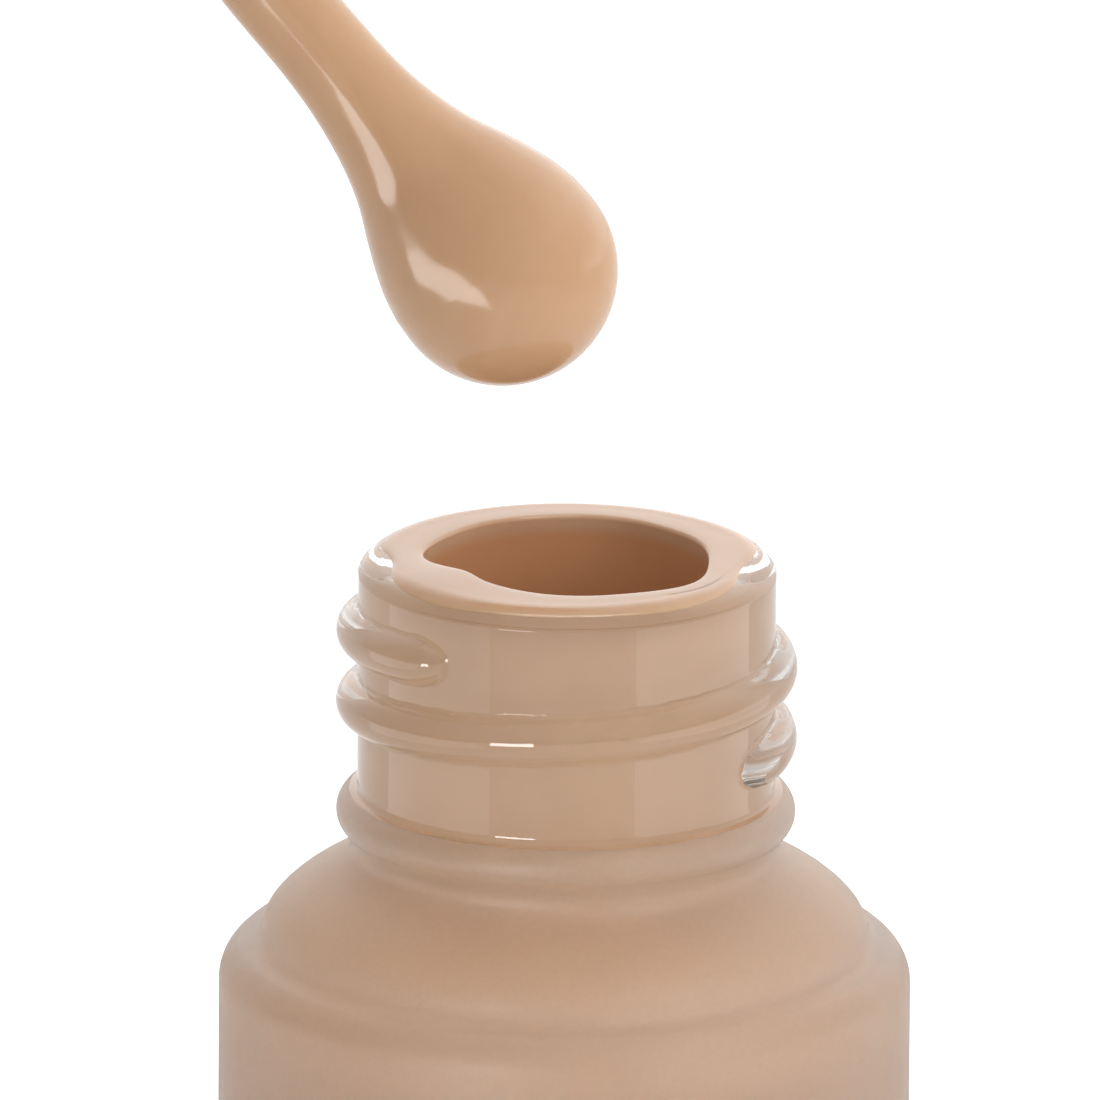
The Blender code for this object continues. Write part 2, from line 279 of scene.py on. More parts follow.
edge_card = sheet_lamp("edge_card", edge_place, (0, 6, MOUTH), (130, 60), 6, *SHOWS_ONLY)
window.data.shape = "ELLIPSE"
ON_WAND = [only_on(window, "window_on_wand"), only_on(streak, "streak_on_wand")]
ON_GLASS = [only_on(lamp, lamp.name + "_on_glass") for lamp in (glint, left_band, right_band)]
ON_FILM = [only_on(fill_left, "fill_on_film"), only_on(edge_card, "edge_on_film")]

# %% [markdown]
# Most pieces are turned, so one function makes them all: it takes an outline of radius and height and a
# rule that may move each point as it goes round. A turned outline could also come from a Screw modifier,
# but the rule lets the thread, the film and the drop leave the perfect circle.

# %% Turning on a lathe
def arc(centre, radii, start, end, steps):
    across, up = radii if isinstance(radii, tuple) else (radii, radii)
    turns = [math.radians(start + (end - start) * i / steps) for i in range(steps + 1)]
    return [(centre[0] + across * math.cos(a), centre[1] + up * math.sin(a)) for a in turns]


def smooth_path(points, steps):
    """A Catmull-Rom curve through the points, with this many steps between each two."""
    out = []
    last = len(points) - 1
    for i in range(last):
        p0, p1, p2, p3 = (Vector(points[min(max(k, 0), last)]) for k in (i - 1, i, i + 1, i + 2))
        for j in range(steps):
            t = j / steps
            bend = 2 * p1 + (p2 - p0) * t + (2 * p0 - 5 * p1 + 4 * p2 - p3) * t * t
            bend += (3 * p1 - p0 - 3 * p2 + p3) * t**3
            out.append(tuple(bend / 2))
    return out + [tuple(points[-1])]


# %% [markdown]
# A finished shape becomes an object in one place. Doubled points are merged, faces are turned outward, and
# all is shaded smooth except at edges sharper than a set angle, which could also be marked by hand.

# %% From shape to object
def make_object(name, shape, finish, place=None, sharp=50):
    bmesh.ops.remove_doubles(shape, verts=shape.verts, dist=1e-7)
    bmesh.ops.recalc_face_normals(shape, faces=shape.faces)
    mesh = bpy.data.meshes.new(name)
    shape.to_mesh(mesh)
    shape.free()
    if place:
        mesh.transform(place)
    mesh.shade_smooth()
    mesh.set_sharp_from_angle(angle=math.radians(sharp))
    mesh.materials.append(finish)
    made = bpy.data.objects.new(name, mesh)
    scene.collection.objects.link(made)
    print(name, len(mesh.polygons), "faces")
    return made


# %% [markdown]
# The lathe sets up a column of points for each angle and stretches faces between neighbouring columns. A
# closed outline, such as a washer's, is joined back to its start.

# %% The lathe
def turned(name, outline, finish, sides=128, rule=None, ring=False, place=None, sharp=50):
    """Spins an outline; rule(radius, height, angle, index) may give each point a new radius and height."""
    shape = bmesh.new()
    columns = []
    for k in range(sides):
        angle = math.tau * k / sides
        column = []
        for i, (radius, height) in enumerate(outline):
            if rule and radius > 0:
                radius, height = rule(radius, height, angle, i)
            spot = (radius * math.cos(angle) * MM, radius * math.sin(angle) * MM, height * MM)
            column.append(shape.verts.new(spot))
        columns.append(column)
    count = len(outline)
    for k, column in enumerate(columns):
        after = columns[(k + 1) % sides]
        for i in range(count if ring else count - 1):
            j = (i + 1) % count
            shape.faces.new((column[i], after[i], after[j], column[j]))
    return make_object(name, shape, finish, place, sharp)


# %% [markdown]
# Two effects are shared by several finishes, so each is a node group. **Grain** gives fine even noise as a
# height and a mask, for frost, mould texture and paper. **Mottle** shifts a colour a little from place to
# place, as pigment settles in a liquid or dye in a plastic.

# %% New group
def new_group(name, inputs, outputs):
    group = bpy.data.node_groups.new(name, "ShaderNodeTree")
    for label, kind, value in inputs:
        socket = group.interface.new_socket(label, in_out="INPUT", socket_type=kind)
        socket.default_value = value
    for label, kind in outputs:
        group.interface.new_socket(label, in_out="OUTPUT", socket_type=kind)
    return group, put(group, "NodeGroupInput", (-700, 0)), put(group, "NodeGroupOutput", (500, 0))


# %% [markdown]
# Grain could be a picture of noise, but a noise texture measured in millimetres has no seam and no limit to
# its detail. A fine one gives the height for a bump, and a much broader one gives the mask.

# %% Grain
grain, source, sink = new_group(
    "grain",
    [("Size", "NodeSocketFloat", 0.1), ("Contrast", "NodeSocketFloat", 1.0)],
    [("Height", "NodeSocketFloat"), ("Mask", "NodeSocketFloat")],
)
where = put(grain, "ShaderNodeTexCoord", (-700, 200))
per_size = put(grain, "ShaderNodeMath", (-500, -100), operation="DIVIDE")
per_size.inputs[0].default_value = 1 / MM
wire(grain, source.outputs["Size"], per_size.inputs[1])
fine = put(grain, "ShaderNodeTexNoise", (-300, 150), Detail=3.0, Roughness=0.6)
broad = put(grain, "ShaderNodeTexNoise", (-300, -150), Detail=2.0, Roughness=0.5)
tenth = put(grain, "ShaderNodeMath", (-480, -300), operation="MULTIPLY")
tenth.inputs[1].default_value = 0.08
wire(grain, per_size.outputs[0], tenth.inputs[0])
for texture, scale in ((fine, per_size), (broad, tenth)):
    wire(grain, where.outputs["Object"], texture.inputs["Vector"])
    wire(grain, scale.outputs[0], texture.inputs["Scale"])
stretch = put(grain, "ShaderNodeMath", (0, 150), operation="MULTIPLY")
wire(grain, fine.outputs["Fac"], stretch.inputs[0])
wire(grain, source.outputs["Contrast"], stretch.inputs[1])
wire(grain, stretch.outputs[0], sink.inputs["Height"])
wire(grain, broad.outputs["Fac"], sink.inputs["Mask"])

# %% [markdown]
# Mottle drifts between a light and a dark shade of one colour, in soft clouds. Stretch pulls the clouds
# along the height, for a liquid that has run down.

# %% Mottle
mottle, source, sink = new_group(
    "mottle",
    [
        ("Light", "NodeSocketColor", (1, 1, 1, 1)),
        ("Dark", "NodeSocketColor", (0, 0, 0, 1)),
        ("Patch", "NodeSocketFloat", 4.0),
        ("Stretch", "NodeSocketFloat", 1.0),
    ],
    [("Colour", "NodeSocketColor"), ("Mask", "NodeSocketFloat")],
)
where = put(mottle, "ShaderNodeTexCoord", (-900, 200))
pull = put(mottle, "ShaderNodeVectorMath", (-650, 200), operation="MULTIPLY")
heights = put(mottle, "ShaderNodeCombineXYZ", (-850, -50), X=1.0, Y=1.0)
wire(mottle, source.outputs["Stretch"], heights.inputs["Z"])
wire(mottle, where.outputs["Object"], pull.inputs[0])
wire(mottle, heights.outputs[0], pull.inputs[1])
per_patch = put(mottle, "ShaderNodeMath", (-650, -200), operation="DIVIDE")
per_patch.inputs[0].default_value = 1 / MM
wire(mottle, source.outputs["Patch"], per_patch.inputs[1])
clouds = put(mottle, "ShaderNodeTexNoise", (-400, 100), Detail=4.0, Roughness=0.55, Distortion=0.4)
wire(mottle, pull.outputs[0], clouds.inputs["Vector"])
wire(mottle, per_patch.outputs[0], clouds.inputs["Scale"])
spread = put(mottle, "ShaderNodeMapRange", (-150, 100), From_Min=0.3, From_Max=0.7)
wire(mottle, clouds.outputs["Fac"], spread.inputs["Value"])
mix = put(mottle, "ShaderNodeMix", (150, 100), data_type="RGBA")
wire(mottle, spread.outputs["Result"], mix.inputs["Factor"])
wire(mottle, source.outputs["Dark"], mix.inputs[6])
wire(mottle, source.outputs["Light"], mix.inputs[7])
wire(mottle, mix.outputs[2], sink.inputs["Colour"])
wire(mottle, spread.outputs["Result"], sink.inputs["Mask"])
print("groups", grain.name, mottle.name)


# %% [markdown]
# Two more helpers place a group in a material with its own values and turn a height into a bump.

# %% Using the groups
def use_group(tree, group, at=(-500, 0), **values):
    node = put(tree, "ShaderNodeGroup", at, node_tree=group)
    for label, value in values.items():
        node.inputs[label].default_value = value
    return node


def add_bump(tree, shader, height, strength, distance):
    bump = put(tree, "ShaderNodeBump", (-200, -300), Strength=strength, Distance=distance * MM)
    wire(tree, height, bump.inputs["Height"])
    wire(tree, bump.outputs["Normal"], shader.inputs["Normal"])


# %% [markdown]
# Foundation is pigment in a creamy liquid: opaque, evenly tan, and wet. A little subsurface scatter softens
# its shadows, the surface is nearly smooth, and slow swirls in colour keep it from looking like paint.

# %% Foundation liquid
def liquid_material(name, light, dark, roughness, ripple, bore_shade_colour=None, bore_shade_below=0.0):
    """A liquid's finish; the optional darker colour below a height in millimetres is painted shade down the
    bore.
    """
    made, tree, shader = new_material(name)
    tint = use_group(tree, mottle, (-500, 100), Light=light, Dark=dark, Patch=3.5, Stretch=0.6)
    wire(tree, tint.outputs["Colour"], shader.inputs["Base Color"])
    # Below the given height the liquid turns darker, as painted shade down the inside of the bore.
    if bore_shade_colour:
        where = put(tree, "ShaderNodeTexCoord", (-1000, 500))
        split = put(tree, "ShaderNodeSeparateXYZ", (-800, 500))
        wire(tree, where.outputs["Object"], split.inputs["Vector"])
        top = bore_shade_below * MM
        depth = put(tree, "ShaderNodeMapRange", (-600, 500), From_Min=top, From_Max=top - 0.5 * MM)
        wire(tree, split.outputs["Z"], depth.inputs["Value"])
        painted_bore_shade = put(tree, "ShaderNodeMix", (-250, 400), data_type="RGBA")
        painted_bore_shade.inputs[7].default_value = bore_shade_colour
        wire(tree, depth.outputs["Result"], painted_bore_shade.inputs["Factor"])
        wire(tree, tint.outputs["Colour"], painted_bore_shade.inputs[6])
        wire(tree, painted_bore_shade.outputs[2], shader.inputs["Base Color"])
    rough = put(tree, "ShaderNodeMapRange", (-250, -50), To_Min=roughness * 0.8, To_Max=roughness * 1.25)
    wire(tree, tint.outputs["Mask"], rough.inputs["Value"])
    wire(tree, rough.outputs["Result"], shader.inputs["Roughness"])
    shader.inputs["IOR"].default_value = 1.45
    shader.inputs["Subsurface Weight"].default_value = 0.25
    shader.inputs["Subsurface Radius"].default_value = (1.0, 0.55, 0.3)
    shader.inputs["Subsurface Scale"].default_value = 0.6 * MM
    texture = use_group(tree, grain, (-500, -300), Size=1.6, Contrast=1.0)
    add_bump(tree, shader, texture.outputs["Height"], ripple, 0.06)
    return made


# %% [markdown]
# The same liquid has four colours: thick and wet on the wand, thin on the lip with painted shade darkening it
# down the bore, behind frosted glass, and pressed against the clear neck. The last two are painted lighter,
# as painted light. Each gets its own pair of shades.

# %% Four looks of the liquid
wet_foundation = liquid_material(
    "wet_foundation", (0.560, 0.335, 0.190, 1), (0.525, 0.305, 0.165, 1), roughness=0.13, ripple=0.2
)
lip_foundation = liquid_material(
    "lip_foundation",
    (0.545, 0.345, 0.215, 1),
    (0.51, 0.315, 0.19, 1),
    roughness=0.13,
    ripple=0.2,
    # The darker colour below the mouth is painted shade for the bore.
    bore_shade_colour=(0.525, 0.265, 0.133, 1),
    bore_shade_below=MOUTH - 0.35,
)
# The liquid behind the frosted glass and against the clear neck is painted lighter than on the wand: painted
# light.
bottled_foundation_painted_lighter = liquid_material(
    "bottled_foundation_painted_lighter", (0.668, 0.416, 0.258, 1), (0.63, 0.388, 0.234, 1), roughness=0.35, ripple=0.1
)
neck_foundation_painted_lighter = liquid_material(
    "neck_foundation_painted_lighter", (0.585, 0.378, 0.235, 1), (0.55, 0.352, 0.215, 1), roughness=0.35, ripple=0.1
)
print("liquids", wet_foundation.name, lip_foundation.name, bottled_foundation_painted_lighter.name, neck_foundation_painted_lighter.name)

# %% [markdown]
# The glass is one piece with two finishes. Down to the top of the bead it is clear and glossy; below that
# line it has been etched. Etching makes the surface rough and also leaves a milky skin that scatters light
# back, so the etched part has its own material with a share of white in it and a frost grain in its bump.

# %% Etched skin
FROST_LINE = -10.45
# Besides the milky tint, these heights carry painted light and shade: paler at the foot of the dome, darker
# from the step down the shoulder.
ETCH_TINTS_AND_PAINTED_SHADE = (
    (-10.45, (0.90, 0.89, 0.88)),
    (-12.5, (0.89, 0.87, 0.845)),
    (-14.0, (0.86, 0.835, 0.775)),
    (-15.6, (0.86, 0.84, 0.785)),
    (-16.6, (0.87, 0.885, 0.895)),
    (-17.35, (0.86, 0.87, 0.88)),
    (-17.9, (0.755, 0.735, 0.71)),
    (-18.6, (0.75, 0.73, 0.705)),
    (-19.6, (0.785, 0.765, 0.735)),
    (-22.0, (0.755, 0.74, 0.72)),
)


def etch_ramp_with_painted_shade(tree):
    """The etched skin's milky tint by height, with painted light as a pale band at the foot of the dome and
    painted shade on the step and shoulder.
    """
    top, bottom = ETCH_TINTS_AND_PAINTED_SHADE[0][0], ETCH_TINTS_AND_PAINTED_SHADE[-1][0]
    where = put(tree, "ShaderNodeTexCoord", (-1500, 500))
    split = put(tree, "ShaderNodeSeparateXYZ", (-1300, 500))
    wire(tree, where.outputs["Object"], split.inputs["Vector"])
    start, stop = (MOUTH + top) * MM, (MOUTH + bottom) * MM
    span = put(tree, "ShaderNodeMapRange", (-1100, 500), From_Min=start, From_Max=stop)
    wire(tree, split.outputs["Z"], span.inputs["Value"])
    ramp = put(tree, "ShaderNodeValToRGB", (-900, 500))
    ramp.color_ramp.interpolation = "B_SPLINE"
    while len(ramp.color_ramp.elements) < len(ETCH_TINTS_AND_PAINTED_SHADE):
        ramp.color_ramp.elements.new(0.5)
    for element, (height, tint) in zip(ramp.color_ramp.elements, ETCH_TINTS_AND_PAINTED_SHADE):
        element.position = (height - top) / (bottom - top)
        element.color = (*tint, 1)
    wire(tree, span.outputs["Result"], ramp.inputs["Fac"])
    return ramp


# %% [markdown]
# Both finishes come from one function. Clear glass is all transmission and nearly smooth. Etched glass is
# rough, holds back a share of the light as a milky skin, and takes its tint from the ramp above.

# %% Bottle glass
def glass_material(name, clear_share, roughness, uneven, speckle, frost, etched):
    made, tree, shader = new_material(name)
    shader.inputs["Transmission Weight"].default_value = clear_share
    shader.inputs["IOR"].default_value = 1.5
    fine = use_group(tree, grain, (-700, -300), Size=0.12, Contrast=1.0)
    rough = put(tree, "ShaderNodeMapRange", (-400, 0), To_Min=roughness - uneven, To_Max=roughness + uneven)
    wire(tree, fine.outputs["Mask"], rough.inputs["Value"])
    wire(tree, rough.outputs["Result"], shader.inputs["Roughness"])
    shade = use_group(tree, mottle, (-700, 250), Light=speckle[0], Dark=speckle[1], Patch=0.22, Stretch=1.0)
    wire(tree, shade.outputs["Colour"], shader.inputs["Base Color"])
    if etched:
        ramp = etch_ramp_with_painted_shade(tree)
        both = put(tree, "ShaderNodeMix", (-350, 350), data_type="RGBA", blend_type="MULTIPLY")
        both.inputs["Factor"].default_value = 1.0
        wire(tree, ramp.outputs["Color"], both.inputs[6])
        wire(tree, shade.outputs["Colour"], both.inputs[7])
        wire(tree, both.outputs[2], shader.inputs["Base Color"])
    add_bump(tree, shader, fine.outputs["Height"], frost, 0.02)
    return made


CLEAR_SPECKLE = ((0.99, 0.99, 0.985, 1), (0.98, 0.98, 0.97, 1))
ETCHED_SPECKLE = ((1.0, 1.0, 1.0, 1), (0.93, 0.93, 0.925, 1))
clear_glass = glass_material("clear_glass", 1.0, 0.03, 0.02, CLEAR_SPECKLE, frost=0.02, etched=False)
etched_glass = glass_material("etched_glass", 0.93, 0.48, 0.05, ETCHED_SPECKLE, frost=0.4, etched=True)
print("glass", clear_glass.name, etched_glass.name)

# %% [markdown]
# The neck carries a right-handed thread that starts and stops in a rounded end. Instead of a separate helix
# joined to the neck, the wall itself is pushed out: at each point the rule asks how far above or below the
# ridge's middle it is, and adds a round bump. A fillet at its foot keeps the joint soft, as in moulded glass.

# %% Thread rule
NECK = 9.05
CREST = 10.0
PITCH = 3.175
RIDGE = 1.1
THREAD_START = 235.0
THREAD_START_HEIGHT = -2.78
THREAD_SWEEP = 629.0
NOSE_UPPER = 12.0
NOSE_LOWER = 17.0


def soft_max(a, b, blend):
    """The larger of two values, with the corner between them rounded over."""
    gap = max(blend - abs(a - b), 0) / blend
    return max(a, b) + gap * gap * blend / 4


def thread_rule(radius, height, angle, index):
    below = height - MOUTH
    if radius < NECK - 0.05 or below < -9.9 or below > -0.7:
        return radius, height
    degrees = math.degrees(angle)
    rise = -10.0
    for turn in range(-2, 2):
        down = THREAD_START - degrees - 360 * turn
        if not 0 <= down <= THREAD_SWEEP:
            continue
        middle = THREAD_START_HEIGHT - PITCH * down / 360
        nose = max(1 - down / NOSE_UPPER, 1 - (THREAD_SWEEP - down) / NOSE_LOWER, 0) * RIDGE
        away = math.hypot(below - middle, nose)
        if away < RIDGE:
            rise = max(rise, CREST - RIDGE + math.sqrt(RIDGE**2 - away**2) - NECK)
    return NECK + soft_max(0, rise, 0.3), height


# %% [markdown]
# The glass body is turned with the thread rule. Its outline goes from the floor of the cavity up the inside,
# over the lip, down the neck and bead, over the dome and the step where the cap's rim would sit, down the
# wall and round the heel to the middle of the recess underneath.

# %% Inside of the glass
BODY = 15.0
BORE = 6.75
BEAD_MIDDLE = -11.35


def inner_wall(inset):
    """The inside of the glass from its floor to the bore, grown or shrunk by an inset."""
    radius, bore = 12.6 - inset, BORE - inset
    base = [(0, 7 + inset)] + arc((radius - 2, 9 + inset), 2, -90, 0, 8)
    low, high = MOUTH - 21.5 - inset, MOUTH - 13.0 - inset
    sweep = []
    for i in range(25):
        t = i / 24
        u = 1 - t
        weights = (u**3, 3 * u * u * t, 3 * u * t * t, t**3)
        r = sum(w * v for w, v in zip(weights, (radius, radius, bore, bore)))
        h = sum(w * v for w, v in zip(weights, (low, low + 5.9, high - 4.0, high)))
        sweep.append((r, h))
    return base + sweep


# %% [markdown]
# The outside is written as a run of short curves in the order that a finger would meet them: lip, ledge,
# neck, bead, waist, dome, step and shoulder.

# %% Outside of the glass
def outer_wall():
    lip = arc((7.6, -0.9), (0.85, 0.85), 180, 90, 8)
    lip += smooth_path([(7.9, -0.03), (8.38, -0.08), (8.8, -0.28), (9.02, -0.56)], 4)
    ledge = [(9.05, -0.62), (9.0, -0.66), (9.05, -0.72)]
    wall = [(NECK, -0.8 - 0.1 * i) for i in range(94)]
    bead = arc((8.95, BEAD_MIDDLE), 1.0, 80, -50, 16)
    waist = [(9.4, -12.45), (9.3, -12.95), (9.5, -13.45)]
    dome = [(10.2, -13.95), (11.0, -14.4), (11.8, -14.92), (12.45, -15.48), (12.88, -16.0), (13.06, -16.4)]
    step = [(13.15, -16.7), (13.27, -16.98), (13.46, -17.19), (13.75, -17.33)]
    shoulder = arc((13.1, -19.05), 1.9, 58, 0, 10)
    profile = lip + ledge + wall + smooth_path([bead[0]] + bead[1:] + waist + dome + step + shoulder, 2)
    return [(r, h + MOUTH) for r, h in profile]


# %% [markdown]
# The outline closes at the heel and is turned. Faces below the frost line that look outward take the etched
# finish, while the inside stays clear, since only the outside is dipped in the acid.

# %% Turning the glass
heel = [(BODY, MOUTH - 30), (BODY, 40), (BODY, 20)] + arc((13, 2), 2, 0, -90, 10)
heel += [(10.9, 0), (10.75, 0.1), (10.6, 0.6), (0, 0.6)]
glass_outline = inner_wall(0) + outer_wall() + heel
glass = turned("glass_body", glass_outline, clear_glass, sides=288, rule=thread_rule, sharp=75)
glass.data.materials.append(etched_glass)
for face in glass.data.polygons:
    outward = face.center.x * face.normal.x + face.center.y * face.normal.y > -1e-6
    face.material_index = int(face.center.z < (MOUTH + FROST_LINE) * MM and outward)
for group in ON_GLASS:
    group.objects.link(glass)
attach(glass, "bottle")
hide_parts("glass_bottle")

# %% [markdown]
# Liquid against glass has no air between, so the fill reaches a hair into the glass. That way light crosses
# the outer surface once and lands on pigment, and the neck reads as solid tan instead of a mirror.

# %% Foundation in the bottle
LEVEL = MOUTH - 12.0
INTO_GLASS = -0.03
fill_top = [(BORE - INTO_GLASS, LEVEL), (BORE - 0.3, LEVEL - 0.25), (0, LEVEL - 0.3)]
fill_outline = inner_wall(INTO_GLASS) + fill_top
fill = turned("foundation_in_bottle", fill_outline, bottled_foundation_painted_lighter, sides=128)
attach(fill, "bottle")
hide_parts("foundation_fill")

# %% [markdown]
# Where the wand was drawn out it left liquid on the bore and over the lip. The film is thick enough to hide
# the bore and covers the top of the lip almost to its edge, drawn back at the two sides where bare glass
# shows. At the front left it has run into a fat fold that leans into the opening. The side that lies on the
# glass gets its own, paler colour: painted light that brightens the liquid seen through the clear neck.

# %% Lip and swellings
def swell(angle, middle, width, amount):
    away = (math.degrees(angle) - middle + 180) % 360 - 180
    return amount * math.exp(-((away / width) ** 2))


def lip_height(radius):
    """How high the glass lip stands at a radius, from the mouth."""
    knots = [(6.75, -0.9), (7.0, -0.06), (7.3, -0.05), (7.6, -0.05), (7.9, -0.03), (8.15, -0.04)]
    knots += [(8.38, -0.08), (8.62, -0.165), (8.8, -0.28), (8.93, -0.41), (9.02, -0.56)]
    for (r0, h0), (r1, h1) in zip(knots, knots[1:]):
        if radius <= r1:
            return h0 + (h1 - h0) * (radius - r0) / (r1 - r0)
    return knots[-1][1]


# %% [markdown]
# The film's outline runs up its wet face, over the rounded edge, out along the lip, back under itself and
# down the glass. The points on the lip are spaced more closely towards its outer edge, where it curves.

# %% Outline of the film
film_inner = [(6.15, -13.0), (6.15, -8), (6.15, -4), (6.15, -2.4), (6.15, -1.5), (6.15, -0.9), (6.15, -0.5)]
film_over = arc((6.34, -0.1), (0.19, 0.18), 180, 95, 8) + [(6.6, 0.09), (6.85, 0.09), (7.05, 0.09)]
SPREAD = [0.12, 0.25, 0.4, 0.52, 0.62, 0.7, 0.77, 0.83, 0.88, 0.92, 0.96, 1.0]
film_top = [(7.3, 0.08) for share in SPREAD]
film_under = [(7.3, -0.1) for share in SPREAD]
film_back = arc((7.6, -0.9), 0.82, 100, 180, 6) + [(BORE + 0.03, height) for height in (-2.4, -8, -13.0)]
film_outline = [(r, h + MOUTH) for r, h in film_inner + film_over + film_top + film_under + film_back]
TOP_FROM = len(film_inner) + len(film_over)
UNDER_FROM = TOP_FROM + len(SPREAD)
BACK_FROM = UNDER_FROM + len(SPREAD)


# %% [markdown]
# One rule shapes the film. On the bore it pushes the fold inward near the mouth only, and on the lip it
# spreads the points between the bore and the place where the liquid stopped.

# %% Film rule
def film_reach(angle):
    """The radius at which the film ends on the lip: almost the edge, but drawn back at the two sides."""
    wander = 0.06 * math.sin(2 * angle + 1.1) + 0.05 * math.sin(5 * angle) + 0.04 * math.sin(11 * angle + 1)
    return 8.72 + wander * 0.5 - swell(angle, 186, 20, 1.1) - swell(angle, 350, 22, 1.05)


def film_rule(radius, height, angle, index):
    below = height - MOUTH
    if index < TOP_FROM:
        near_lip = min(max((below + 4.5) / 3.5, 0), 1) ** 2
        fold = swell(angle, 214, 19, 1.05) + swell(angle, 240, 16, 0.35) - swell(angle, 318, 20, 0.45)
        ripple = 0.08 * math.sin(3 * angle + 0.6) + 0.05 * math.sin(7 * angle + 2)
        radius -= (fold + ripple) * near_lip
        height += swell(angle, 216, 24, 0.1) * near_lip
    elif index < BACK_FROM:
        on_top = index < UNDER_FROM
        share = SPREAD[index - TOP_FROM] if on_top else SPREAD[BACK_FROM - 1 - index]
        radius = 7.25 + (film_reach(angle) - 7.25) * share
        skin = 0.13 * (1 - share**3) + swell(angle, 216, 24, 0.1) * (1 - share)
        height = MOUTH + lip_height(radius) + (skin if on_top else -0.04)
    return radius, height


# %% [markdown]
# The film is turned as a closed ring, and the faces that lie against the neck take their own, paler colour as
# painted light.

# %% Film on the bore and lip
film = turned("foundation_on_lip", film_outline, lip_foundation, sides=256, rule=film_rule, ring=True)
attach(film, "bottle")
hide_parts("foundation_neck_film")
for group in [ON_GLASS[0], *ON_FILM]:
    group.objects.link(film)
film.data.materials.append(neck_foundation_painted_lighter)
for face in film.data.polygons:
    radius = math.hypot(face.center.x, face.center.y) / MM
    face.material_index = int(radius > 6.6 and face.center.z < (MOUTH - 0.5) * MM)

# %% [markdown]
# The wand's ball end is hidden in liquid, which swells into a round drop and tapers up the stem into a thin
# film. It is one turned skin with a slight sag.

# %% Liquid on the wand
COAT_END = 43.5


def club_outline():
    ball = arc((0, 0), 5.0, -90, 4, 30)
    flare = [(4.93, 1.2), (4.66, 2.4), (4.20, 3.65), (3.72, 4.75)]
    flare += [(3.0, 6.35), (2.46, 8.3), (2.14, 10.4), (2.02, 12.6)]
    stem = [(2.0, 15), (1.98, 20), (1.95, 26), (1.9, 32), (1.82, 37), (1.75, 40)]
    end = [(1.68, 42), (1.55, 43.2), (1.42, COAT_END)]
    return [(0, -5.0)] + ball[1:] + smooth_path(flare + stem + end, 5)


def club_rule(radius, height, angle, index):
    """A slow waviness up the stem and a slightly fuller lower side of the flare."""
    lower_side = math.cos(angle)
    share = math.exp(-(((height - 6.5) / 3.0) ** 2))
    radius += 0.10 * share * -lower_side
    if height > 9:
        fade = min((height - 9) / 6, 1) * min(max(COAT_END - height, 0) / 3, 1)
        radius += 0.05 * math.sin(height * 0.55 + angle) * fade
    return radius, height


club_points = club_outline()
club = turned("foundation_on_wand", club_points, wet_foundation, 160, rule=club_rule, place=WAND_PLACE)
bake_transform(club)
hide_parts("foundation_drop", "foundation_coat")
for group in ON_WAND:
    group.objects.link(club)

# %% [markdown]
# Moulded plastic, rubber, foam and paper differ in colour, in how rough they are and in how fine their
# texture is, and all drift a little in tone from place to place. One function builds such a finish from the
# two shared groups, and each piece then gives its own numbers.

# %% Moulded finishes
def moulded_material(name, light, dark, roughness, patch, texture, bump):
    made, tree, shader = new_material(name)
    tone = use_group(tree, mottle, (-600, 200), Light=light, Dark=dark, Patch=patch, Stretch=1.0)
    fine = use_group(tree, grain, (-600, -250), Size=texture, Contrast=1.0)
    wire(tree, tone.outputs["Colour"], shader.inputs["Base Color"])
    rough = put(tree, "ShaderNodeMapRange", (-300, -50), To_Min=roughness[0], To_Max=roughness[1])
    wire(tree, fine.outputs["Mask"], rough.inputs["Value"])
    wire(tree, rough.outputs["Result"], shader.inputs["Roughness"])
    add_bump(tree, shader, fine.outputs["Height"], bump, 0.03)
    return made


soft_touch = moulded_material(
    "soft_touch_plastic", (0.445, 0.318, 0.24, 1), (0.425, 0.302, 0.226, 1), (0.36, 0.52), 7.0, 0.18, 0.22
)
white_moulding = moulded_material(
    "white_moulding", (0.84, 0.83, 0.80, 1), (0.78, 0.765, 0.73, 1), (0.28, 0.45), 5.0, 0.3, 0.12
)
stem_moulding = moulded_material(
    "stem_moulding", (0.80, 0.74, 0.67, 1), (0.74, 0.67, 0.60, 1), (0.22, 0.38), 3.0, 0.25, 0.1
)
tip_rubber = moulded_material(
    "tip_rubber", (0.60, 0.46, 0.36, 1), (0.54, 0.41, 0.31, 1), (0.55, 0.75), 1.5, 0.12, 0.3
)
liner_foam = moulded_material(
    "liner_foam", (0.88, 0.87, 0.84, 1), (0.80, 0.79, 0.755, 1), (0.7, 0.9), 1.2, 0.22, 0.6
)
label_paper = moulded_material(
    "label_paper", (0.86, 0.84, 0.80, 1), (0.80, 0.78, 0.735, 1), (0.6, 0.8), 2.0, 0.1, 0.35
)
print("finishes", soft_touch.name, white_moulding.name, liner_foam.name)

# %% [markdown]
# The label is a blank paper disc in the recess under the foot, with its edge a little rolled from the die
# that cut it. It is turned like the rest, since a plain cylinder would have a razor edge.

# %% Base label
LABEL_RADIUS = 10.2
label_edge = arc((LABEL_RADIUS - 0.1, 0.12), 0.1, -90, 90, 6)
label_outline = [(0, 0.02), (9.6, 0.02)] + label_edge + [(9.6, 0.27), (0, 0.27)]
label = turned("base_sheet", label_outline, label_paper, sides=128)
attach(label, "bottle")
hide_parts("base_label")

# %% [markdown]
# From here the pieces stand on the wand's own axis, with heights counted from the middle of the ball end.
# First the soft tip, wholly inside the liquid: a ball with a neck and a blind socket that grips the rod.

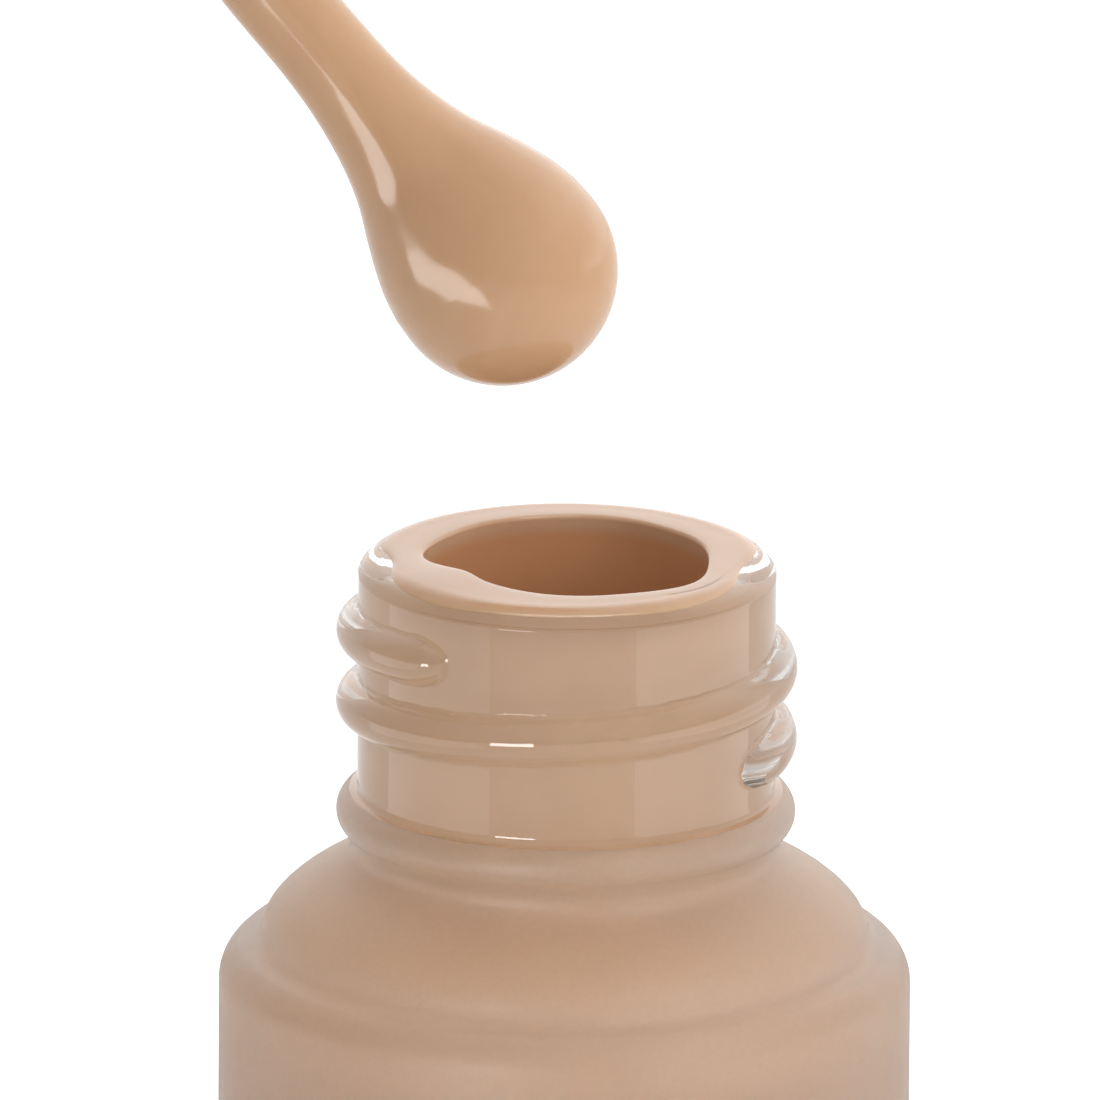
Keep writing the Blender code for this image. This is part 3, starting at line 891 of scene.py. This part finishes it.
# %% Tip
SEAT = 69.0
ROD = 1.35
tip_outline = [(0, -4.0)] + arc((0, 0), 4.0, -90, 30, 26)[1:]
tip_outline += smooth_path([(3.35, 2.5), (3.1, 3.6), (2.7, 4.7), (2.4, 5.7), (2.1, 6.5)], 3)
tip_outline += [(2.0, 6.85), (1.85, 7.0), (1.65, 7.0), (1.65, 1.2), (0, 1.2)]
tip = turned("tip_rubber_ball", tip_outline, tip_rubber, sides=96, place=WAND_PLACE)
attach(tip, "wand")
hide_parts("applicator_tip")

# %% [markdown]
# The rod runs from the tip's socket through the inner cap. A thicker shank meets the cap, and a flat head
# with a rounded edge keeps the rod from being pulled out.

# %% Stem
head = SEAT + 3.3
stem_outline = [(0, 1.5), (1.05, 1.5), (1.25, 1.6), (ROD, 1.85), (ROD, 20), (ROD, 45), (ROD, 64.4)]
stem_outline += smooth_path([(ROD, 64.5), (1.45, 65.1), (1.72, 65.8), (1.8, 66.2)], 4)
stem_outline += [(1.8, head), (3.8, head)] + arc((3.8, head + 0.2), 0.2, -90, 0, 3)
stem_outline += arc((3.65, head + 0.95), 0.35, 0, 90, 6) + [(0, head + 1.3)]
stem = turned("stem_rod", stem_outline, stem_moulding, sides=96, place=WAND_PLACE)
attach(stem, "wand")
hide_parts("wand_stem")

# %% [markdown]
# The liner is a foam washer that the lip squeezes each time the bottle is closed, so its lower face keeps a
# shallow ring-shaped dent at the lip's radius.

# %% Seal liner
liner_outline = [(2.1, SEAT + 0.05), (6.6, SEAT), (7.0, SEAT + 0.06), (7.7, SEAT + 0.16), (8.4, SEAT + 0.06)]
liner_outline += [(8.8, SEAT)] + arc((9.75, SEAT + 0.15), 0.15, -90, 0, 4)
liner_outline += [(9.9, SEAT + 0.9), (9.8, SEAT + 1.0), (2.2, SEAT + 1.0), (2.1, SEAT + 0.9)]
liner_points = smooth_path(liner_outline + liner_outline[:1], 2)[:-1]
liner = turned("liner_washer", liner_points, liner_foam, sides=128, ring=True, place=WAND_PLACE)
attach(liner, "wand")
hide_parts("seal_liner")

# %% [markdown]
# The inner cap does the work: a skirt with one turn and a quarter of thread on its inside, a flange that
# fills the shell, and six ribs that keep it central. The thread is pushed into the wall by a rule, as on the
# glass; the ribs are small rounded blocks joined to the same mesh.

# %% Thread of the inner cap
PLATE = SEAT + 1.3
SKIRT_END = SEAT - 12.3
CAP_CREST = 9.4
CAP_SWEEP = 450.0
CAP_START_HEIGHT = SEAT + THREAD_START_HEIGHT - PITCH / 2


def cap_thread_rule(radius, height, angle, index):
    if not 10.2 < radius < 10.3 or not SKIRT_END + 0.5 < height < PLATE - 0.5:
        return radius, height
    degrees = math.degrees(angle)
    rise = -10.0
    for turn in range(-2, 2):
        down = THREAD_START - degrees - 360 * turn
        if not 0 <= down <= CAP_SWEEP:
            continue
        away = height - (CAP_START_HEIGHT - PITCH * down / 360)
        end = min(min(down, CAP_SWEEP - down) / NOSE_UPPER, 1)
        if abs(away) < 1.0:
            top = (10.25 - CAP_CREST - 1.0 + math.sqrt(1.0 - away**2)) * math.sqrt(1 - (1 - end) ** 2)
            rise = max(rise, top)
    return 10.25 - soft_max(0, rise, 0.25), height


# %% [markdown]
# A rib could be part of a separate mesh joined by a Boolean, but a block that sinks into skirt and flange
# looks the same and leaves no thin slivers.

# %% Rib
def rounded_rib(shape, turn):
    """A rib from the skirt to the shell, as a block with its long edges rounded."""
    made = bmesh.new()
    bmesh.ops.create_cube(made, size=1)
    long = PLATE - SKIRT_END - 0.6
    bmesh.ops.scale(made, verts=made.verts, vec=Vector((2.2, 1.0, long)))
    bmesh.ops.bevel(made, geom=made.edges[:], offset=0.18, segments=3, affect="EDGES", profile=0.5)
    bmesh.ops.translate(made, verts=made.verts, vec=Vector((12.2, 0, PLATE + 0.4 - long / 2)))
    spun = WAND_PLACE @ Matrix.Rotation(turn, 4, "Z") @ Matrix.Scale(MM, 4)
    bmesh.ops.transform(made, matrix=spun, verts=made.verts)
    block = bpy.data.meshes.new("rib")
    made.to_mesh(block)
    made.free()
    shape.from_mesh(block)
    bpy.data.meshes.remove(block)


# %% [markdown]
# The cup is turned with fine steps on its inside so that the thread comes out smooth, and then six ribs are
# added round it.

# %% Inner cap
inner_wall_steps = [(10.25, PLATE - 0.5 - 0.1 * i) for i in range(1, 126)]
cup_outline = [(2.1, PLATE), (9.9, PLATE), (10.2, PLATE - 0.15), (10.25, PLATE - 0.5)] + inner_wall_steps
cup_outline += smooth_path([(10.25, SKIRT_END + 0.45), (10.4, SKIRT_END + 0.18), (10.7, SKIRT_END)], 3)
cup_outline += arc((11.3, SKIRT_END + 0.2), 0.2, -90, 0, 4)
cup_outline += [(11.5, PLATE - 0.5), (11.6, PLATE - 0.15), (11.9, PLATE)]
cup_outline += arc((13.1, PLATE + 0.2), 0.2, -90, 0, 4) + arc((13.1, PLATE + 1.5), 0.2, 0, 90, 4)
cup_outline += [(2.3, PLATE + 1.7), (2.1, PLATE + 1.5)]
inner_cap = turned(
    "inner_cap_moulding", cup_outline, white_moulding, 216, rule=cap_thread_rule, ring=True, place=WAND_PLACE
)
cup_shape = bmesh.new()
cup_shape.from_mesh(inner_cap.data)
for i in range(6):
    rounded_rib(cup_shape, math.tau * i / 6)
cup_shape.to_mesh(inner_cap.data)
cup_shape.free()
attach(inner_cap, "wand")
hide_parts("inner_cap")

# %% [markdown]
# The outer shell is what the hand turns: a straight cup with a rounded top edge, a softened rim, a faint
# round sink over the inner cap, and a small gate dimple in the middle of its roof where the plastic ran in.

# %% Cap shell
CAP_TOP = SEAT + 22.0
CAP_RIM = SEAT - 16.6
shell_outline = [(0, CAP_TOP - 0.12), (0.5, CAP_TOP - 0.12), (0.8, CAP_TOP - 0.04), (1.1, CAP_TOP - 0.02)]
shell_outline += [(6, CAP_TOP - 0.05), (11, CAP_TOP - 0.03), (12.6, CAP_TOP)]
shell_outline += arc((13.4, CAP_TOP - 1.6), 1.6, 88, 0, 16)
shell_outline += [(15.0, CAP_TOP - 6), (15.0, CAP_TOP - 18), (15.0, CAP_TOP - 30)]
shell_outline += arc((14.6, CAP_RIM + 0.4), 0.4, 0, -90, 6) + arc((13.9, CAP_RIM + 0.3), 0.3, -90, -180, 6)
shell_outline += [(13.6, CAP_RIM + 2), (13.6, CAP_TOP - 12), (13.6, CAP_TOP - 3.0)]
shell_outline += arc((12.6, CAP_TOP - 2.5), 1.0, 0, 90, 8)
shell_outline += [(6, CAP_TOP - 1.5), (0, CAP_TOP - 1.5)]
shell = turned("cap_outer_shell", shell_outline, soft_touch, sides=216, place=WAND_PLACE)
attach(shell, "wand")
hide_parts("cap_shell")
